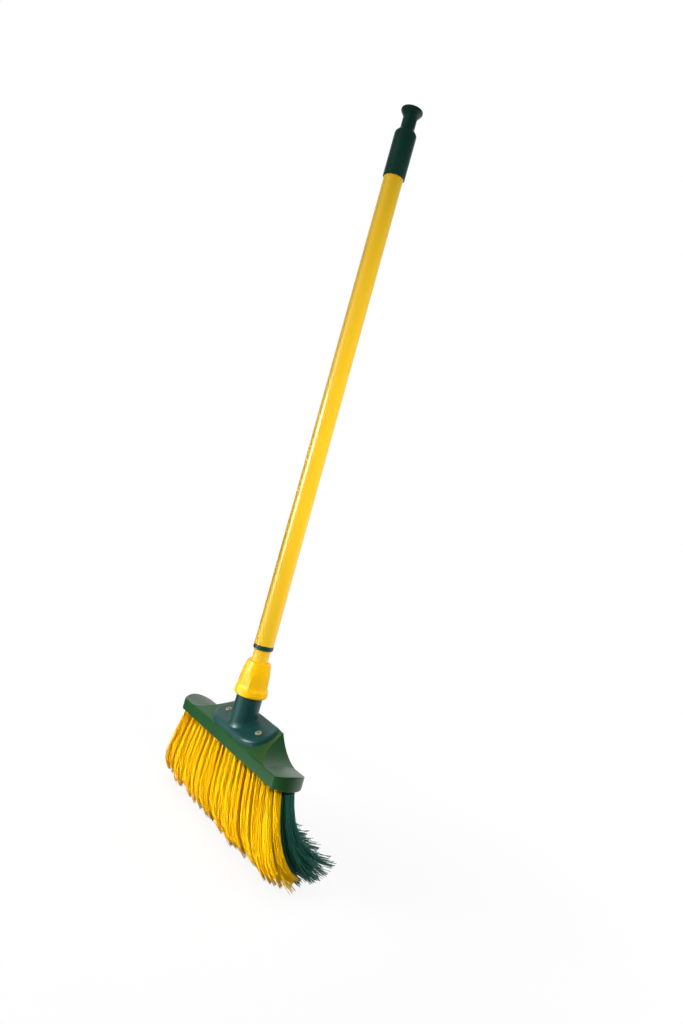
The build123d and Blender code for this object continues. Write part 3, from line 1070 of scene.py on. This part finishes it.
    def build(self, book: FinishBook) -> None:
        """Makes the row's pieces, dresses them and lets them ride.

        Args:
            book: The finishes.
        """
        low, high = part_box(self.node)
        root_y = low[1] + self.strip_width / 2
        sole = high[2] - self.strip_height
        bundle = self.tufts_piece(root_y, sole)
        dress(bundle, book[self.finish])
        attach(bundle, "head")
        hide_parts(self.node)
        strip = self.strip_piece(root_y, sole)
        dress(strip, book[Finish.BLOCK])
        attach(strip, "head")
        LOG.info("piece %s, piece %s", bundle.name, strip.name)


@dataclass(frozen=True)
class SoftLamp:
    """A soft area light.

    Attributes:
        name: The light's name.
        place: Where it stands.
        aim: What it faces.
        power: Its power in watts.
        size: Its width and height.
        spread: The angle that its light spreads over, in degrees.
        mirrored_by: The nodes that mirror it, and that it is there for; without any, it only lights.
    """

    name: str
    place: Point
    aim: Point
    power: float
    size: tuple[float, float]
    spread: float = 180
    mirrored_by: tuple[str, ...] = ()

    def build(self, nodes: dict[str, bpy.types.Object]) -> None:
        """Adds the light to the scene.

        Args:
            nodes: The frame's nodes by name.
        """
        data = bpy.data.lights.new(self.name, "AREA")
        data.shape = "RECTANGLE"
        data.size, data.size_y = self.size
        data.energy = self.power
        data.spread = math.radians(self.spread)
        lamp = bpy.data.objects.new(self.name, data)
        lamp.visible_glossy = bool(self.mirrored_by)
        lamp.visible_diffuse = not self.mirrored_by
        bpy.context.scene.collection.objects.link(lamp)
        lamp.location = self.place
        look = Vector(self.aim) - Vector(self.place)
        lamp.rotation_euler = look.to_track_quat("-Z", "Y").to_euler()
        if self.mirrored_by:
            lit = bpy.data.collections.new(f"{self.name}_pieces")
            for node in self.mirrored_by:
                lit.objects.link(nodes[node])
            lamp.light_linking.receiver_collection = lit


@dataclass
class Studio:
    """Pale floor, soft light and the camera at the photograph's angle.

    Attributes:
        eye: The camera's place.
        heading: The camera's level direction, as an angle about Z from +X.
        roll: The camera's turn about its own line of sight.
        lens: Focal length, in mm.
        sensor: Length of the sensor's longer side, in mm.
        clip: The nearest and the farthest that the camera sees.
        lamps: The lights: a key light, fills for the bristles and the handle, a top light, a side light
            and a glint.
        matt_tones: What the room gives matt surfaces, on the camera's side and on the far side.
        matt_side: Where the far side starts and is full for them, along the heading.
        gloss_tones: What glossy surfaces mirror of the room, on the two sides.
        gloss_side: Where the far side starts and is full for them.
        floor_height: Height of the floor, just below the bristle tips.
        floor_size: Length of the floor's side.
        floor_tone: The floor's colour.
        bounce_tone: Its colour for the light that it throws back.
        shadow_fade: From where to where, out from the handle, the floor's shadow fades.
        paper_share: How much of the floor is plain white, at the start of the fade and at its end.
        mirror_tones: What glossy surfaces mirror of the floor, in its dim part and in its bright one.
        mirror_right: Where the bright part starts and is full, to the camera's right.
        mirror_far: Where it starts and is full, along the heading.
    """

    eye: Point = (0.8129, -0.5407, -0.4653)
    heading: float = math.atan2(0.5964, -0.8027)
    roll: float = math.asin(0.2675)
    lens: float = 26.37
    sensor: float = 36
    clip: Range = (0.01, 60)
    lamps: tuple[SoftLamp, ...] = (
        SoftLamp("key_light", (-0.30, -1.50, 0.20), (0.0, 0.0, -0.45), 15, (1.2, 1.2)),
        SoftLamp("low_fill", (-0.55, -1.18, -0.78), (0.0, -0.02, -0.95), 2.8, (0.9, 0.24), spread=30),
        SoftLamp("handle_fill", (1.25, -0.20, 0.10), (0.0, 0.0, -0.47), 1.4, (0.2, 0.2), spread=48),
        SoftLamp("top_light", (-0.35, 0.25, 1.10), (0.0, 0.0, -0.6), 8, (1.0, 1.0)),
        SoftLamp("side_light", (0.80, 1.30, 0.10), (0.0, 0.0, -0.45), 8, (0.6, 1.6)),
        SoftLamp("glint_light", (-0.45, -1.50, -0.45), (0.0, 0.0, -0.76), 2.5, (0.6, 0.7), spread=40,
                 mirrored_by=("socket", "locking_nut", "outer_tube", "inner_tube", "grip", "end_ring")),
    )
    matt_tones: tuple[Rgb, Rgb] = ((0.10, 0.10, 0.10), (0.45, 0.455, 0.46))
    matt_side: Range = (-0.5, 0.1)
    gloss_tones: tuple[Rgb, Rgb] = ((0.04, 0.04, 0.04), WHITE)
    gloss_side: Range = (0.3, 0.9)
    floor_height: float = -0.9100
    floor_size: float = 40
    floor_tone: Rgb = (0.85, 0.85, 0.85)
    bounce_tone: Rgb = (0.3, 0.3, 0.3)
    shadow_fade: Range = (0.15, 0.7)
    paper_share: Range = (0.86, 1.0)
    mirror_tones: tuple[Rgb, Rgb] = ((0.03, 0.03, 0.03), WHITE)
    mirror_right: Range = (-0.40, -0.12)
    mirror_far: Range = (-0.40, -0.10)

    def camera(self) -> None:
        """Makes the camera and sets it as the scene's own."""
        data = bpy.data.cameras.new("photo_camera")
        data.lens = self.lens
        data.sensor_width = self.sensor
        data.clip_start, data.clip_end = self.clip
        camera = bpy.data.objects.new("photo_camera", data)
        bpy.context.scene.collection.objects.link(camera)
        forward = Vector((math.cos(self.heading), math.sin(self.heading), 0))
        level = Vector((forward.y, -forward.x, 0))
        right = level * math.cos(self.roll) + Vector((0, 0, 1)) * math.sin(self.roll)
        up = right.cross(forward)
        turn = Matrix((right, up, -forward)).transposed().to_4x4()
        camera.matrix_world = Matrix.Translation(self.eye) @ turn
        bpy.context.scene.camera = camera

    def share_along(self, sheet: NodeSheet, place: bpy.types.NodeSocket, heading: float,
                    span: Range) -> bpy.types.NodeSocket:
        """How far a place or a direction lies along a level heading.

        Args:
            sheet: The node tree's sheet.
            place: The place or direction.
            heading: The heading, as an angle about Z from +X.
            span: The distances along it at which the share is 0 and 1.

        Returns:
            The share's socket.
        """
        along = sheet.add("ShaderNodeVectorMath", operation="DOT_PRODUCT")
        sheet.join(place, along.inputs[0])
        along.inputs[1].default_value = (math.cos(heading), math.sin(heading), 0)
        return sheet.remap(along.outputs["Value"], span, smooth=True)

    def world(self) -> None:
        """A white backdrop, and a room that is dim on the camera's side."""
        world = bpy.data.worlds.new("studio_world")
        bpy.context.scene.world = world
        world.use_nodes = True
        sheet = NodeSheet(world.node_tree)
        path = sheet.add("ShaderNodeLightPath").outputs
        way = sheet.add("ShaderNodeTexCoord").outputs["Generated"]
        matt = sheet.mix(self.share_along(sheet, way, self.heading, self.matt_side), *self.matt_tones)
        glossy = sheet.mix(self.share_along(sheet, way, self.heading, self.gloss_side), *self.gloss_tones)
        room = sheet.mix(path["Is Glossy Ray"], matt, glossy)
        seen = sheet.calc("MAXIMUM", path["Is Camera Ray"], path["Is Transmission Ray"])
        light = sheet.add("ShaderNodeBackground")
        sheet.join(sheet.mix(seen, room, WHITE), light.inputs["Color"])
        out = sheet.add("ShaderNodeOutputWorld")
        sheet.join(light.outputs[0], out.inputs["Surface"])

    def paper(self) -> bpy.types.Material:
        """The floor's material: white to the camera but for a faint shadow round the broom.

        Returns:
            The material.
        """
        material = bpy.data.materials.new("floor_paper")
        material.use_nodes = True
        sheet = NodeSheet(material.node_tree)
        path = sheet.add("ShaderNodeLightPath").outputs
        place = sheet.add("ShaderNodeNewGeometry").outputs["Position"]
        level = sheet.add("ShaderNodeVectorMath", operation="MULTIPLY")
        sheet.join(place, level.inputs[0])
        level.inputs[1].default_value = (1, 1, 0)
        out_from_handle = sheet.add("ShaderNodeVectorMath", operation="LENGTH")
        sheet.join(level.outputs[0], out_from_handle.inputs[0])
        away = out_from_handle.outputs["Value"]
        plain = sheet.remap(away, self.shadow_fade, self.paper_share, smooth=True)
        right = self.share_along(sheet, place, self.heading - math.pi / 2, self.mirror_right)
        far = self.share_along(sheet, place, self.heading, self.mirror_far)
        mirrored = sheet.mix(sheet.calc("MULTIPLY", right, far), *self.mirror_tones)
        matt = sheet.add("ShaderNodeBsdfDiffuse")
        tone = sheet.mix(path["Is Diffuse Ray"], self.floor_tone, self.bounce_tone)
        sheet.join(tone, matt.inputs["Color"])
        pale = sheet.add("ShaderNodeEmission")
        sheet.join(sheet.mix(path["Is Glossy Ray"], WHITE, mirrored), pale.inputs["Color"])
        seen = sheet.calc("MULTIPLY", path["Is Camera Ray"], plain)
        blend = sheet.add("ShaderNodeMixShader")
        sheet.join(sheet.calc("MAXIMUM", seen, path["Is Glossy Ray"]), blend.inputs[0])
        sheet.join(matt.outputs[0], blend.inputs[1])
        sheet.join(pale.outputs[0], blend.inputs[2])
        out = sheet.add("ShaderNodeOutputMaterial")
        sheet.join(blend.outputs[0], out.inputs["Surface"])
        return material

    def floor(self, head: bpy.types.Object) -> None:
        """A wide pale floor under the bristle tips, which keeps the broom's shadow.

        It goes with the head, so that the broom also stands on it with its handle drawn out.

        Args:
            head: A piece of the broom's head.
        """
        clear_selection()
        bpy.ops.mesh.primitive_plane_add(size=self.floor_size, location=(0, 0, self.floor_height))
        floor = bpy.context.object
        floor.name = "floor"
        dress(floor, self.paper())
        floor.parent = head
        floor.matrix_parent_inverse = head.matrix_world.inverted()

    def build(self, nodes: dict[str, bpy.types.Object]) -> None:
        """Makes the floor, the light and the camera.

        Args:
            nodes: The frame's nodes by name.
        """
        self.floor(nodes["block"])
        self.world()
        for lamp in self.lamps:
            lamp.build(nodes)
        self.camera()
        bpy.context.scene.view_settings.view_transform = "Standard"


def bristle_rows() -> list[BristleRow]:
    """Lists the five rows of tufts.

    Returns:
        The rows, from the front to the rear.
    """
    kinds = ((Finish.YELLOW, "yellow", 2), (Finish.GREEN, "green", 3))
    made = []
    for finish, colour, count in kinds:
        for place in range(1, count + 1):
            made.append(BristleRow(f"{colour}_row_{place}", len(made), finish, f"{colour}_bristle"))
    return made


def corners(box: tuple[Vector, Vector]) -> list[list[float]]:
    """A box's two corners as plain lists of numbers."""
    return [list(corner) for corner in box]


def main() -> None:
    """Loads the frame, builds and dresses the broom, and sets the studio round it."""
    logging.basicConfig(level=logging.INFO, format="%(message)s")
    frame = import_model()
    book = FinishBook()
    CadSkins().build(frame["nodes"], book)
    SocketScrews().build(book)
    for row in bristle_rows():
        row.build(book)
    Studio().build(frame["nodes"])


if __name__ == "__main__":
    main()
